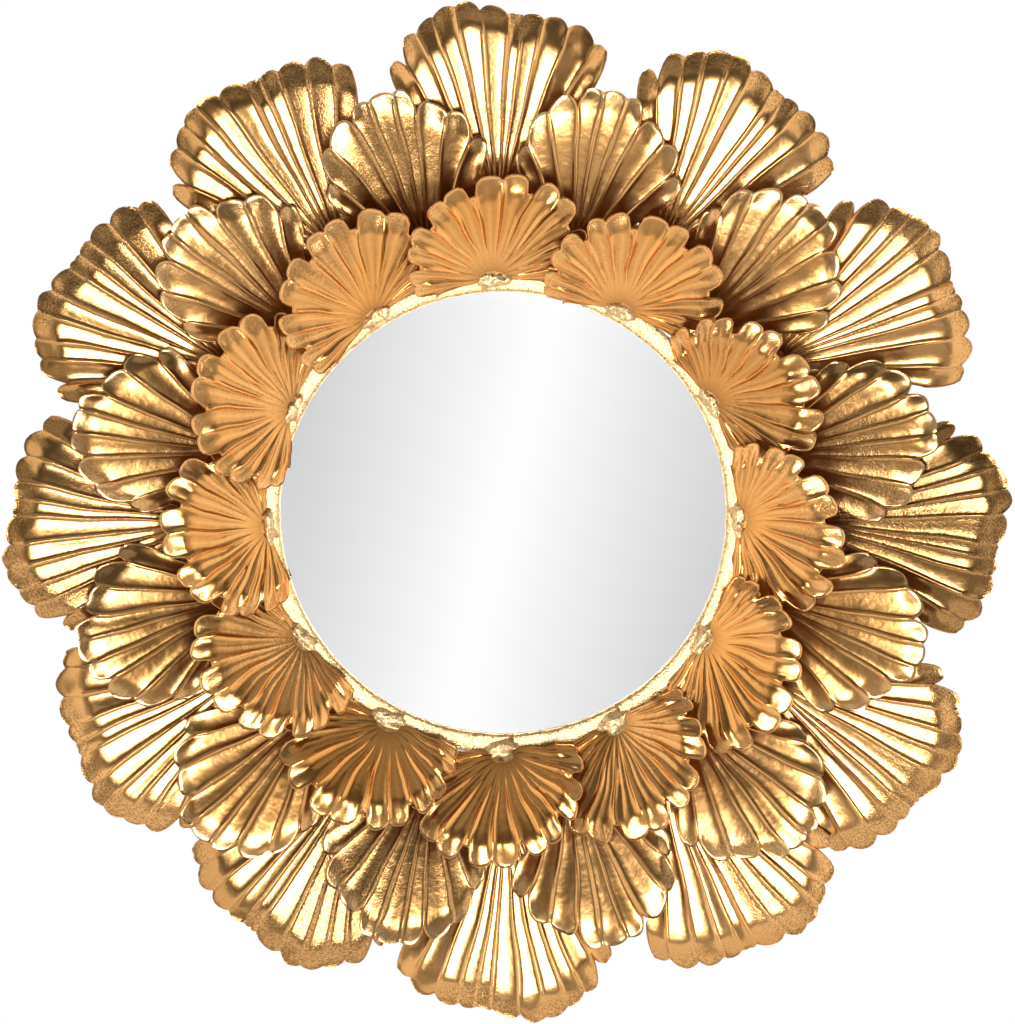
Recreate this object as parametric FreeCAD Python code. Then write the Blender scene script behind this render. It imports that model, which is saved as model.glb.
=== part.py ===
"""Round wall mirror in a frame of three tiers of pressed sheet-metal leaves.

The wall is the plane y = 0 and the mirror faces -Y, with +Z up. Depths are measured forward from the wall.
Clock angles are in degrees, clockwise from the top as a viewer in front sees them.
"""

import FreeCAD, Part
import math
import os
from collections import namedtuple
from itertools import repeat

Vector = FreeCAD.Vector
FORWARD = Vector(0, -1, 0)
CENTRE = Vector(0, 0, 0)

# Mirror plate and what is stacked behind it
GLASS_RADIUS = 182.0
GLASS_THICKNESS = 3.0
GLASS_SIDE_GAP = 1.0
GASKET_WIDTH = 3.5
GASKET_THICKNESS = 1.0
FOAM_THICKNESS = 5.5
FOAM_SIDE_GAP = 1.0
BOARD_THICKNESS = 5.0
BOARD_SIDE_GAP = 0.3

# Rim, an L-shaped hoop of sheet that holds the stack
RIM_SHEET = 1.5
LIP_COVER = 5.0
LIP_CORNER_RADIUS = 1.0
RIM_BACK_DEPTH = 1.0

# Lugs inside the rim, and the countersunk screws that hold the board on them
LUG_COUNT = 6
LUG_REACH = 14.0
LUG_WIDTH = 16.0
LUG_SHEET = 1.5
LUG_FLANGE = 4.0
SCREW_SHANK_RADIUS = 1.75
SCREW_HEAD_RADIUS = 3.5
SCREW_LENGTH = 8.0
SCREW_SINK = 0.2
SCREW_HOLE_GAP = 0.1
SCREW_INSET = 7.0
RECESS_WIDTH = 0.9
RECESS_SPAN = 3.6
RECESS_DEPTH = 1.1

# Wire frame behind the leaves
ARM_COUNT = 12
ARM_RADIUS = 3.0
REAR_HOOP_GAP = 65.5
REAR_HOOP_ROD_RADIUS = 4.0
MIDDLE_HOOP_GAP = 43.5
MIDDLE_HOOP_ROD_RADIUS = 2.5
ROD_SEAT = 0.5
BUMPER_COUNT = 4
BUMPER_RADIUS = 7.0
BUMPER_THICKNESS = 2.0

# Keyhole straps that hang the mirror on two wall screws
STRAP_CLOCK_ANGLES = (-30.0, 30.0)
STRAP_WIDTH = 28.0
STRAP_THICKNESS = 2.0
KEYHOLE_INSET = 15.5
KEYHOLE_ENTRY_RADIUS = 5.0
KEYHOLE_SLOT_RADIUS = 2.5
KEYHOLE_SLOT_TRAVEL = 9.0

# Sheet of every leaf, and the flat tang welded under it
LEAF_SHEET = 0.9
TANG_SHEET = 1.4
TANG_GAP = 0.25
BEND_SOFTNESS = 3.0

# How far a leaf may have been welded further out or in than its neighbours
HAND_SLIDE = 7.5

# Outer tier. The edge shares place the ribs and both sides across the fan, the reach shares are the lobes'
# lengths and the notch shares the cuts between them. The slide shares go with the clock angles.
OUTER_LENGTH = 169.5
OUTER_FOCUS_INSET = 12.0
OUTER_NECK_RADIUS = 20.0
OUTER_HALF_FAN_ANGLE = 38.5
OUTER_EDGE_SHARES = (-1, -0.80, -0.59, -0.44, -0.27, -0.10, 0.12, 0.24, 0.38, 0.58, 0.80, 1)
OUTER_REACH_SHARES = (0.84, 0.925, 0.955, 0.99, 1, 0.967, 0.93, 0.943, 0.953, 0.951, 0.905)
OUTER_NOTCH_SHARES = (0.17, 0.11, 0.03, 0.025, 0.02, 0.05, 0.04, 0.02, 0.035, 0.05, 0.045, 0.18)
OUTER_RIB_HEIGHT = 2.6
OUTER_CUP_HEIGHT = -5.0
OUTER_BOW_HEIGHT = -6.0
OUTER_TIP_LENGTH = 19.0
OUTER_TIP_ANGLE = 27.0
OUTER_TILT_ANGLE = 6.5
OUTER_TWIST_ANGLE = 3.5
OUTER_TANG_WIDTH = 16.0
OUTER_TANG_INNER = 11.0
OUTER_TANG_OUTER = 30.0
OUTER_CLOCK_ANGLES = (-1.0, 30.5, 60.2, 91.3, 122.5, 148.0, 179.5, 208.5, 238.0, 268.0, 298.0, 327.5)
OUTER_SLIDE_SHARES = (0.2, 0.5, 0.55, -0.35, 0.8, 0.65, 0.4, -0.8, -1, -1, -0.15, 0.15)

# Middle tier
MIDDLE_LENGTH = 140.0
MIDDLE_FOCUS_INSET = 14.0
MIDDLE_NECK_RADIUS = 20.0
MIDDLE_HALF_FAN_ANGLE = 46.0
MIDDLE_EDGE_SHARES = (-1, -0.76, -0.52, -0.27, -0.10, 0.08, 0.25, 0.50, 0.755, 1)
MIDDLE_REACH_SHARES = (0.68, 0.84, 0.94, 0.987, 1, 0.993, 0.90, 0.857, 0.745)
MIDDLE_NOTCH_SHARES = (0.22, 0.10, 0.05, 0.10, 0.025, 0.025, 0.12, 0.05, 0.14, 0.22)
MIDDLE_RIB_HEIGHT = 2.2
MIDDLE_CUP_HEIGHT = 2.0
MIDDLE_BOW_HEIGHT = -4.0
MIDDLE_TIP_LENGTH = 14.0
MIDDLE_TIP_ANGLE = 32.0
MIDDLE_TILT_ANGLE = 15.0
MIDDLE_TWIST_ANGLE = 1.0
MIDDLE_TANG_WIDTH = 14.0
MIDDLE_TANG_INNER = 7.0
MIDDLE_TANG_OUTER = 26.0
MIDDLE_CLOCK_ANGLES = (15.0, 46.0, 77.5, 108.5, 138.0, 165.3, 195.4, 223.5, 252.0, 283.0, 312.5, 344.0)
MIDDLE_SLIDE_SHARES = (-0.2, -0.05, -0.05, 0.05, 0.25, 0.4, 0.3, 0.2, 0.2, -0.45, -0.35, -0.15)

# Inner tier, which stands on the rim's lip. Its lobes go in pairs.
INNER_LENGTH = 93.0
INNER_FOCUS_INSET = -6.5
INNER_NECK_RADIUS = 4.0
INNER_HALF_FAN_ANGLE = 103.0
INNER_EDGE_SHARES = (-1, -0.85, -0.69, -0.54, -0.385, -0.23, -0.08, 0.08, 0.23, 0.385, 0.55, 0.70, 0.86, 1)
INNER_REACH_SHARES = (0.70, 0.75, 0.80, 0.86, 0.895, 0.92, 0.945, 0.98, 1, 0.97, 0.88, 0.80, 0.72)
INNER_NOTCH_SHARES = (0.3, 0.07, 0.18, 0.07, 0.18, 0.06, 0.18, 0.06, 0.18, 0.06, 0.18, 0.07, 0.18, 0.3)
INNER_RIB_HEIGHT = 2.0
INNER_CUP_HEIGHT = 22.0
INNER_BOW_HEIGHT = 2.0
INNER_TIP_LENGTH = 19.0
INNER_TIP_ANGLE = 34.0
INNER_TILT_ANGLE = 31.0
INNER_TWIST_ANGLE = 8.0
INNER_HUB_RISE = 8.5
INNER_TANG_WIDTH = 17.0
INNER_TANG_OUTER = 15.0
INNER_CLOCK_ANGLES = (-2.6, 29.5, 61.0, 91.0, 122.0, 152.0, 180.0, 208.5, 237.5, 266.5, 296.5, 327.0)
INNER_SLIDE_SHARES = (0, -0.05, -0.15, -0.15, 0.1, 0.5, 0.6, 0.35, -0.05, -0.45, -0.55, -0.2)
INNER_SPIN_ANGLES = (0.0, -10.0, 2.0, 4.0, 2.0, 2.0, -2.0, -2.0, -4.0, -5.0, -10.0, -3.0)

# Sampling of a leaf's surface
SAMPLES_PER_LOBE = 8
ROWS_PER_LEAF = 14
SPLINE_DEGREE = 3
OVERRUN = 2.0

# Depths of the stack, from the wall forward
LUG_FRONT_DEPTH = BOARD_THICKNESS + LUG_SHEET
GLASS_BACK_DEPTH = BOARD_THICKNESS + FOAM_THICKNESS
GLASS_FRONT_DEPTH = GLASS_BACK_DEPTH + GLASS_THICKNESS
LIP_BACK_DEPTH = GLASS_FRONT_DEPTH + GASKET_THICKNESS
LIP_FRONT_DEPTH = LIP_BACK_DEPTH + RIM_SHEET

# Radii that follow from the glass
LIP_INNER_RADIUS = GLASS_RADIUS - LIP_COVER
WALL_INNER_RADIUS = GLASS_RADIUS + GLASS_SIDE_GAP
RIM_OUTER_RADIUS = WALL_INNER_RADIUS + RIM_SHEET
REAR_HOOP_RADIUS = RIM_OUTER_RADIUS + REAR_HOOP_GAP
MIDDLE_HOOP_RADIUS = RIM_OUTER_RADIUS + MIDDLE_HOOP_GAP
SCREW_CIRCLE_RADIUS = WALL_INNER_RADIUS - SCREW_INSET

# The rear hoop and the arms lie at one depth; the middle hoop is seated across the arms
FRAME_DEPTH = BUMPER_THICKNESS + REAR_HOOP_ROD_RADIUS
MIDDLE_HOOP_DEPTH = FRAME_DEPTH + ARM_RADIUS + MIDDLE_HOOP_ROD_RADIUS - ROD_SEAT

Leaf = namedtuple(
    "Leaf", "length neck half_fan edges reaches notches rib cup bow tip tip_angle tilt twist"
)
OUTER = Leaf(
    OUTER_LENGTH, OUTER_NECK_RADIUS, OUTER_HALF_FAN_ANGLE, OUTER_EDGE_SHARES, OUTER_REACH_SHARES,
    OUTER_NOTCH_SHARES, OUTER_RIB_HEIGHT, OUTER_CUP_HEIGHT, OUTER_BOW_HEIGHT, OUTER_TIP_LENGTH,
    OUTER_TIP_ANGLE, OUTER_TILT_ANGLE, OUTER_TWIST_ANGLE,
)
MIDDLE = Leaf(
    MIDDLE_LENGTH, MIDDLE_NECK_RADIUS, MIDDLE_HALF_FAN_ANGLE, MIDDLE_EDGE_SHARES, MIDDLE_REACH_SHARES,
    MIDDLE_NOTCH_SHARES, MIDDLE_RIB_HEIGHT, MIDDLE_CUP_HEIGHT, MIDDLE_BOW_HEIGHT, MIDDLE_TIP_LENGTH,
    MIDDLE_TIP_ANGLE, MIDDLE_TILT_ANGLE, MIDDLE_TWIST_ANGLE,
)
INNER = Leaf(
    INNER_LENGTH, INNER_NECK_RADIUS, INNER_HALF_FAN_ANGLE, INNER_EDGE_SHARES, INNER_REACH_SHARES,
    INNER_NOTCH_SHARES, INNER_RIB_HEIGHT, INNER_CUP_HEIGHT, INNER_BOW_HEIGHT, INNER_TIP_LENGTH,
    INNER_TIP_ANGLE, INNER_TILT_ANGLE, INNER_TWIST_ANGLE,
)


def place(radius, depth, clock=0.0):
    """The point at a radius and a clock angle, a depth in front of the wall."""
    angle = math.radians(clock)
    return Vector(radius * math.sin(angle), -depth, radius * math.cos(angle))


def at_clock(shape, clock):
    """A shape made at twelve o'clock, carried round to a clock angle."""
    return shape.rotated(CENTRE, Vector(0, 1, 0), clock)


def disc(radius, back, front):
    """A flat disc between two depths."""
    return Part.makeCylinder(radius, front - back, place(0, back), FORWARD)


def ring(inner, outer, back, front):
    """A flat ring between two depths."""
    return disc(outer, back, front).cut(disc(inner, back - OVERRUN, front + OVERRUN))


def revolved(corners, angle=360.0):
    """The solid that a closed outline of (radius, depth) corners sweeps about the mirror's axis."""
    points = [place(radius, depth) for radius, depth in corners]
    outline = Part.Face(Part.makePolygon(points + points[:1]))
    return outline.revolve(CENTRE, Vector(0, 1, 0), angle)


def hoop(radius, rod, depth):
    """A hoop of round rod."""
    return Part.makeTorus(radius, rod, place(0, depth), FORWARD)


def glass():
    return disc(GLASS_RADIUS, GLASS_BACK_DEPTH, GLASS_FRONT_DEPTH)


def gasket():
    return ring(GLASS_RADIUS - GASKET_WIDTH, GLASS_RADIUS, GLASS_FRONT_DEPTH, LIP_BACK_DEPTH)


def foam():
    """Packing sheet between the glass and the board, clear of the lugs."""
    return disc(WALL_INNER_RADIUS - LUG_REACH - FOAM_SIDE_GAP, BOARD_THICKNESS, GLASS_BACK_DEPTH)


def rim():
    """The hoop of sheet with its lip over the glass."""
    shape = revolved([
        (LIP_INNER_RADIUS, LIP_FRONT_DEPTH),
        (RIM_OUTER_RADIUS, LIP_FRONT_DEPTH),
        (RIM_OUTER_RADIUS, RIM_BACK_DEPTH),
        (WALL_INNER_RADIUS, RIM_BACK_DEPTH),
        (WALL_INNER_RADIUS, LIP_BACK_DEPTH),
        (LIP_INNER_RADIUS, LIP_BACK_DEPTH),
    ])
    front = [
        edge for edge in shape.Edges
        if edge.BoundBox.YLength < LIP_CORNER_RADIUS
        and abs(edge.BoundBox.YMin + LIP_FRONT_DEPTH) < LIP_CORNER_RADIUS
        and edge.BoundBox.XMax > WALL_INNER_RADIUS
    ]
    return shape.makeFillet(LIP_CORNER_RADIUS, front)


def screw_clock(index):
    """Clock angle of one lug and its screw."""
    return (index + 0.5) * 360.0 / LUG_COUNT


def screw_body(gap):
    """A countersunk screw at twelve o'clock, its head towards the wall, grown by a gap all round."""
    head = SCREW_HEAD_RADIUS + gap
    shank = SCREW_SHANK_RADIUS + gap
    start = place(SCREW_CIRCLE_RADIUS, SCREW_SINK)
    cone = Part.makeCone(head, shank, SCREW_HEAD_RADIUS - SCREW_SHANK_RADIUS, start, FORWARD)
    return cone.fuse(Part.makeCylinder(shank, SCREW_LENGTH, start, FORWARD)).removeSplitter()


def screw_hole():
    """What a screw takes out of the board and its lug."""
    sink = Part.makeCylinder(
        SCREW_HEAD_RADIUS + SCREW_HOLE_GAP, SCREW_SINK + OVERRUN,
        place(SCREW_CIRCLE_RADIUS, -OVERRUN), FORWARD,
    )
    return screw_body(SCREW_HOLE_GAP).fuse(sink)


def screws():
    """The board's screws, each with a cross recess in its head."""
    cross = []
    for width, height in ((RECESS_SPAN, RECESS_WIDTH), (RECESS_WIDTH, RECESS_SPAN)):
        corner = place(SCREW_CIRCLE_RADIUS, SCREW_SINK + RECESS_DEPTH) - Vector(width / 2, 0, height / 2)
        cross.append(Part.makeBox(width, RECESS_DEPTH + OVERRUN, height, corner))
    screw = screw_body(0).cut(cross)
    return [at_clock(screw, screw_clock(index)) for index in range(LUG_COUNT)]


def board():
    """The backing board with its countersunk holes."""
    holes = [at_clock(screw_hole(), screw_clock(index)) for index in range(LUG_COUNT)]
    return disc(WALL_INNER_RADIUS - BOARD_SIDE_GAP, 0, BOARD_THICKNESS).cut(holes)


def lugs():
    """Bent lugs welded inside the rim, each drilled for a screw."""
    profile = [
        (WALL_INNER_RADIUS, BOARD_THICKNESS),
        (WALL_INNER_RADIUS - LUG_REACH, BOARD_THICKNESS),
        (WALL_INNER_RADIUS - LUG_REACH, LUG_FRONT_DEPTH),
        (WALL_INNER_RADIUS - LUG_SHEET, LUG_FRONT_DEPTH),
        (WALL_INNER_RADIUS - LUG_SHEET, BOARD_THICKNESS + LUG_FLANGE),
        (WALL_INNER_RADIUS, BOARD_THICKNESS + LUG_FLANGE),
    ]
    span = math.degrees(LUG_WIDTH / WALL_INNER_RADIUS)
    lug = at_clock(revolved(profile, span), -span / 2).cut(screw_hole())
    return [at_clock(lug, screw_clock(index)) for index in range(LUG_COUNT)]


def rear_hoop():
    return hoop(REAR_HOOP_RADIUS, REAR_HOOP_ROD_RADIUS, FRAME_DEPTH)


def middle_hoop():
    return hoop(MIDDLE_HOOP_RADIUS, MIDDLE_HOOP_ROD_RADIUS, MIDDLE_HOOP_DEPTH)


def rim_space():
    """The round space that the rim takes up, for coping what is welded to its wall."""
    return disc(RIM_OUTER_RADIUS, -OVERRUN, LIP_FRONT_DEPTH + OVERRUN)


def arms():
    """Rods from the rim's wall out to the rear hoop, notched for the middle hoop."""
    start = place(WALL_INNER_RADIUS, FRAME_DEPTH)
    rod = Part.makeCylinder(ARM_RADIUS, REAR_HOOP_RADIUS - WALL_INNER_RADIUS, start, Vector(0, 0, 1))
    arm = rod.cut([rim_space(), rear_hoop(), middle_hoop()])
    pitch = 360.0 / ARM_COUNT
    return [at_clock(arm, (index + 0.5) * pitch) for index in range(ARM_COUNT)]


def keyhole(clock):
    """Keyhole cutter: a round entry for a screw head and a slot straight up from it."""
    depth = FRAME_DEPTH - STRAP_THICKNESS / 2 - OVERRUN
    length = STRAP_THICKNESS + 2 * OVERRUN
    low = place(RIM_OUTER_RADIUS + KEYHOLE_INSET, depth, clock)
    high = low + Vector(0, 0, KEYHOLE_SLOT_TRAVEL)
    entry = Part.makeCylinder(KEYHOLE_ENTRY_RADIUS, length, low, FORWARD)
    end = Part.makeCylinder(KEYHOLE_SLOT_RADIUS, length, high, FORWARD)
    corner = low - Vector(KEYHOLE_SLOT_RADIUS, length, 0)
    slot = Part.makeBox(2 * KEYHOLE_SLOT_RADIUS, length, KEYHOLE_SLOT_TRAVEL, corner)
    return entry.fuse([end, slot])


def strap(clock):
    """A flat strap between the rim's wall and the rear hoop, with its keyhole."""
    corner = place(WALL_INNER_RADIUS, FRAME_DEPTH + STRAP_THICKNESS / 2) - Vector(STRAP_WIDTH / 2, 0, 0)
    flat = Part.makeBox(STRAP_WIDTH, STRAP_THICKNESS, REAR_HOOP_RADIUS - WALL_INNER_RADIUS, corner)
    return at_clock(flat.cut([rim_space(), rear_hoop()]), clock).cut(keyhole(clock))


def bumpers():
    """Rubber bumpers behind the rear hoop, moulded to its rod."""
    blank = Part.makeCylinder(BUMPER_RADIUS, FRAME_DEPTH, place(REAR_HOOP_RADIUS, 0), FORWARD)
    bumper = blank.cut(rear_hoop())
    return [at_clock(bumper, index * 360.0 / BUMPER_COUNT) for index in range(BUMPER_COUNT)]


def notch_hump(distance):
    """1 at a notch, falling to 0 half a lobe away, so that the lobe between two notches is round."""
    return 1 - math.sin(math.pi * min(distance, 0.5))


def rib_hump(distance):
    """1 on a rib's crest, falling smoothly to 0 in the panels beside it."""
    return (0.5 + 0.5 * math.cos(2 * math.pi * min(distance, 0.5))) ** 2


def reach_share(leaf, lobe, part):
    """A leaf's length towards a point across a lobe, as a share of the longest."""
    centred = lobe + part - 0.5
    left = min(max(math.floor(centred), 0), len(leaf.reaches) - 2)
    blend = min(max(centred - left, 0), 1)
    return leaf.reaches[left] * (1 - blend) + leaf.reaches[left + 1] * blend


def leaf_point(leaf, lobe, part, row_share):
    """A point of the leaf's front face, at twelve o'clock, about the point where its ribs meet.

    lobe and part (0 to 1 across that lobe) give the angle, and row_share goes from the neck to the edge.
    """
    last = len(leaf.reaches) - 1
    half_fan = math.radians(leaf.half_fan)
    angle = half_fan * (leaf.edges[lobe] * (1 - part) + leaf.edges[lobe + 1] * part)
    reach = leaf.length * reach_share(leaf, lobe, part)
    notch = leaf.notches[lobe] * notch_hump(part) + leaf.notches[lobe + 1] * notch_hump(1 - part)
    rho = leaf.neck + row_share * (reach * (1 - notch) - leaf.neck)
    crest = (rib_hump(part) if lobe > 0 else 0) + (rib_hump(1 - part) if lobe < last else 0)
    rib = leaf.rib * crest * min(1, 2 * rho / leaf.length)
    past_bend = rho - (reach - leaf.tip)
    bent = (past_bend + math.hypot(past_bend, BEND_SOFTNESS)) / 2
    across = rho * math.sin(angle)
    half_width = leaf.length * math.sin(min(half_fan, math.pi / 2))
    height = rib + leaf.cup * (across / half_width) ** 2
    height += leaf.bow * ((rho - leaf.neck) / leaf.length) ** 2
    height -= bent * math.tan(math.radians(leaf.tip_angle))
    return Vector(across, -height, rho * math.cos(angle))


def clamped_knots(poles):
    """Multiplicities and even knots of a spline that starts and ends on its first and last poles."""
    spans = poles - SPLINE_DEGREE
    ends = [SPLINE_DEGREE + 1]
    return ends + [1] * (spans - 1) + ends, list(range(spans + 1))


def leaf_sheet(leaf):
    """One pressed leaf, lying flat at twelve o'clock about the point where its ribs meet."""
    lobes = len(leaf.reaches)
    columns = [
        (lobe, step / SAMPLES_PER_LOBE) for lobe in range(lobes) for step in range(SAMPLES_PER_LOBE)
    ]
    columns.append((lobes - 1, 1))
    grid = [
        [leaf_point(leaf, lobe, part, row / (ROWS_PER_LEAF - 1)) for row in range(ROWS_PER_LEAF)]
        for lobe, part in columns
    ]
    surface = Part.BSplineSurface()
    across_mults, across_knots = clamped_knots(len(grid))
    along_mults, along_knots = clamped_knots(ROWS_PER_LEAF)
    surface.buildFromPolesMultsKnots(
        grid, across_mults, along_mults, across_knots, along_knots, False, False,
        SPLINE_DEGREE, SPLINE_DEGREE,
    )
    back = surface.toShape().translated(Vector(0, LEAF_SHEET, 0))
    return back.extrude(FORWARD * LEAF_SHEET)


def tang(width, inner, outer):
    """The flat strip welded under a leaf, in the leaf's own place."""
    back = LEAF_SHEET + TANG_GAP
    return Part.makeBox(width, TANG_SHEET, inner + outer, Vector(-width / 2, back, -inner))


def stood_up(shape, leaf, slide, radius, depth, clock):
    """A leaf or tang slid along its stem, twisted, tilted forward and carried to its place."""
    turned = shape.translated(Vector(0, 0, slide)).rotated(CENTRE, Vector(0, 0, 1), leaf.twist)
    tilted = turned.rotated(CENTRE, Vector(1, 0, 0), leaf.tilt)
    return at_clock(tilted.translated(place(radius, depth)), clock)


def depth_over(hoop_depth, rod, leaf):
    """Depth of a leaf, where it passes over a hoop, that rests its tang on the hoop's rod."""
    stack = LEAF_SHEET + TANG_GAP + TANG_SHEET + rod - ROD_SEAT
    return hoop_depth + stack / math.cos(math.radians(leaf.tilt))


def tier(leaf, inset, radius, depth, turns, tang_blank, carrier):
    """The leaves of a tier in clock order, and their tangs, each coped to what carries it.

    The leaf passes through the point at the radius and depth, and its ribs meet an inset further in.
    turns holds each leaf's clock angle, its slide share and how far it is spun on its stem.
    """
    blank = leaf_sheet(leaf)
    leaves = []
    tangs = []
    for clock, slide_share, spin in turns:
        spot = (leaf, HAND_SLIDE * slide_share, radius, depth, clock)
        spun = blank.rotated(CENTRE, Vector(0, 1, 0), spin).translated(Vector(0, 0, -inset))
        leaves.append(stood_up(spun, *spot))
        tangs.append(stood_up(tang_blank, *spot).cut(carrier))
    return leaves, tangs


def outer_tier():
    depth = depth_over(FRAME_DEPTH, REAR_HOOP_ROD_RADIUS, OUTER)
    blank = tang(OUTER_TANG_WIDTH, OUTER_TANG_INNER, OUTER_TANG_OUTER)
    turns = zip(OUTER_CLOCK_ANGLES, OUTER_SLIDE_SHARES, repeat(0))
    return tier(OUTER, OUTER_FOCUS_INSET, REAR_HOOP_RADIUS, depth, turns, blank, rear_hoop())


def middle_tier():
    depth = depth_over(MIDDLE_HOOP_DEPTH, MIDDLE_HOOP_ROD_RADIUS, MIDDLE)
    blank = tang(MIDDLE_TANG_WIDTH, MIDDLE_TANG_INNER, MIDDLE_TANG_OUTER)
    turns = zip(MIDDLE_CLOCK_ANGLES, MIDDLE_SLIDE_SHARES, repeat(0))
    return tier(MIDDLE, MIDDLE_FOCUS_INSET, MIDDLE_HOOP_RADIUS, depth, turns, blank, middle_hoop())


def inner_tier():
    """The inner leaves, whose tangs run down their tilt to a foot cut flush on the lip."""
    radius = RIM_OUTER_RADIUS - INNER_FOCUS_INSET
    depth = LIP_FRONT_DEPTH + INNER_HUB_RISE
    run_down = INNER_HUB_RISE / math.sin(math.radians(INNER_TILT_ANGLE)) + OVERRUN
    blank = tang(INNER_TANG_WIDTH, run_down + HAND_SLIDE, INNER_TANG_OUTER)
    floor = disc(RIM_OUTER_RADIUS + run_down, 0, LIP_FRONT_DEPTH)
    turns = zip(INNER_CLOCK_ANGLES, INNER_SLIDE_SHARES, INNER_SPIN_ANGLES)
    return tier(INNER, 0, radius, depth, turns, blank, floor)


def build():
    """Every named piece and its solids."""
    pieces = {
        "mirror_glass": glass(),
        "glass_gasket": gasket(),
        "packing_foam": foam(),
        "backing_board": board(),
        "rim_hoop": rim(),
        "board_lugs": Part.makeCompound(lugs()),
        "board_screws": Part.makeCompound(screws()),
        "rear_hoop": rear_hoop(),
        "middle_hoop": middle_hoop(),
        "frame_arms": Part.makeCompound(arms()),
        "wall_bumpers": Part.makeCompound(bumpers()),
    }
    for side, clock in zip(("left", "right"), STRAP_CLOCK_ANGLES):
        pieces[f"keyhole_strap_{side}"] = strap(clock)
    for name, made in (("outer", outer_tier()), ("middle", middle_tier()), ("inner", inner_tier())):
        leaves, tangs = made
        for number, leaf in enumerate(leaves, 1):
            pieces[f"{name}_leaf_{number:02d}"] = leaf
        pieces[f"{name}_leaf_tangs"] = Part.makeCompound(tangs)
    return pieces


def main():
    os.makedirs("parts", exist_ok=True)
    for name, shape in build().items():
        shape.exportStep(f"parts/{name}.step")


main()
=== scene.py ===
"""A round wall mirror in a frame of pressed gold leaves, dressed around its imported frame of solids.

The wall is the plane y = 0 and the mirror faces -Y, with +Z up. The leaves and the brazing are worked out
in millimetres from the wall forward and placed in metres. Finishes and the studio are in metres.
"""

import logging
import math
import random
from dataclasses import dataclass, field
from enum import Enum

import bpy
from mathutils import Matrix, Vector, noise


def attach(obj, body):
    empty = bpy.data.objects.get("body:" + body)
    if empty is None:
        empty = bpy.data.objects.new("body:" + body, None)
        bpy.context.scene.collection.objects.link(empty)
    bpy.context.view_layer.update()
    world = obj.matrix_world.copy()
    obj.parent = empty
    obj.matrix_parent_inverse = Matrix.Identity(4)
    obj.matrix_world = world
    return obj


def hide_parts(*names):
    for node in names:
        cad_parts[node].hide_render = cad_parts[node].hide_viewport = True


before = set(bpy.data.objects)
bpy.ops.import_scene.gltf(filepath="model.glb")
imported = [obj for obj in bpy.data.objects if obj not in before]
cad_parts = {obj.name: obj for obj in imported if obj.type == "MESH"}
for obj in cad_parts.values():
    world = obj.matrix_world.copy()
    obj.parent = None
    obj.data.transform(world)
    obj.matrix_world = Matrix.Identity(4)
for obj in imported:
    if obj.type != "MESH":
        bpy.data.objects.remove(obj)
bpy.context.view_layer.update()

BODY = "root"
MM = 0.001
LEAVES = 12
LOG = logging.getLogger("wall_mirror")

Colour = tuple[float, float, float]


class Slot(Enum):
    """Material slots of the record, which this script gives to no piece."""

    LEAF = "leaf_gold"
    RIM = "rim_gold"


class Wire:
    """A shader socket that takes part in arithmetic."""

    def __init__(self, nodes: "Nodes", source: bpy.types.NodeSocket) -> None:
        """Keeps the socket and the nodes that it belongs to."""
        self.nodes = nodes
        self.source = source

    def _math(self, operation: str, first: object, second: object) -> "Wire":
        """The result of a Math node's operation on two wires or numbers."""
        return self.nodes.node("ShaderNodeMath", {"operation": operation}, {0: first, 1: second})

    def __add__(self, other: object) -> "Wire":
        """Sum."""
        return self._math("ADD", self, other)

    __radd__ = __add__

    def __sub__(self, other: object) -> "Wire":
        """Difference."""
        return self._math("SUBTRACT", self, other)

    def __rsub__(self, other: object) -> "Wire":
        """Difference from a number."""
        return self._math("SUBTRACT", other, self)

    def __mul__(self, other: object) -> "Wire":
        """Product."""
        return self._math("MULTIPLY", self, other)

    __rmul__ = __mul__

    def clamp(self) -> "Wire":
        """The value held between 0 and 1."""
        return self.nodes.node("ShaderNodeClamp", {}, {0: self})


class Nodes:
    """The node tree of a material or a world, and the one way to add nodes to it."""

    def __init__(self, owner: bpy.types.Material | bpy.types.World) -> None:
        """Turns the owner's nodes on and keeps their tree."""
        owner.use_nodes = True
        self.tree = owner.node_tree

    def node(self, kind: str, settings: dict, inputs: dict, output: object = 0) -> Wire:
        """Adds a node.

        Args:
            kind: The node's type.
            settings: Its properties, and the stops of a ramp under "stops".
            inputs: Values or wires by socket.
            output: The socket that the wire carries.

        Returns:
            A wire from the node's output.
        """
        made = self.tree.nodes.new(kind)
        for key, value in settings.items():
            if key == "stops":
                ramp = made.color_ramp
                while len(ramp.elements) < len(value):
                    ramp.elements.new(0.5)
                for element, (place, colour) in zip(ramp.elements, value):
                    element.position = place
                    element.color = (*colour, 1)
            else:
                setattr(made, key, value)
        self.feed(made, inputs)
        return Wire(self, made.outputs[output])

    def feed(self, made: bpy.types.Node, inputs: dict) -> None:
        """Sets or links a node's sockets.

        Args:
            made: The node.
            inputs: Values or wires by socket.
        """
        for key, value in inputs.items():
            if isinstance(value, Wire):
                value = value.source
            if isinstance(value, bpy.types.NodeSocket):
                self.tree.links.new(value, made.inputs[key])
            elif isinstance(value, tuple) and made.inputs[key].type == "RGBA":
                made.inputs[key].default_value = (*value, 1)
            else:
                made.inputs[key].default_value = value


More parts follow.
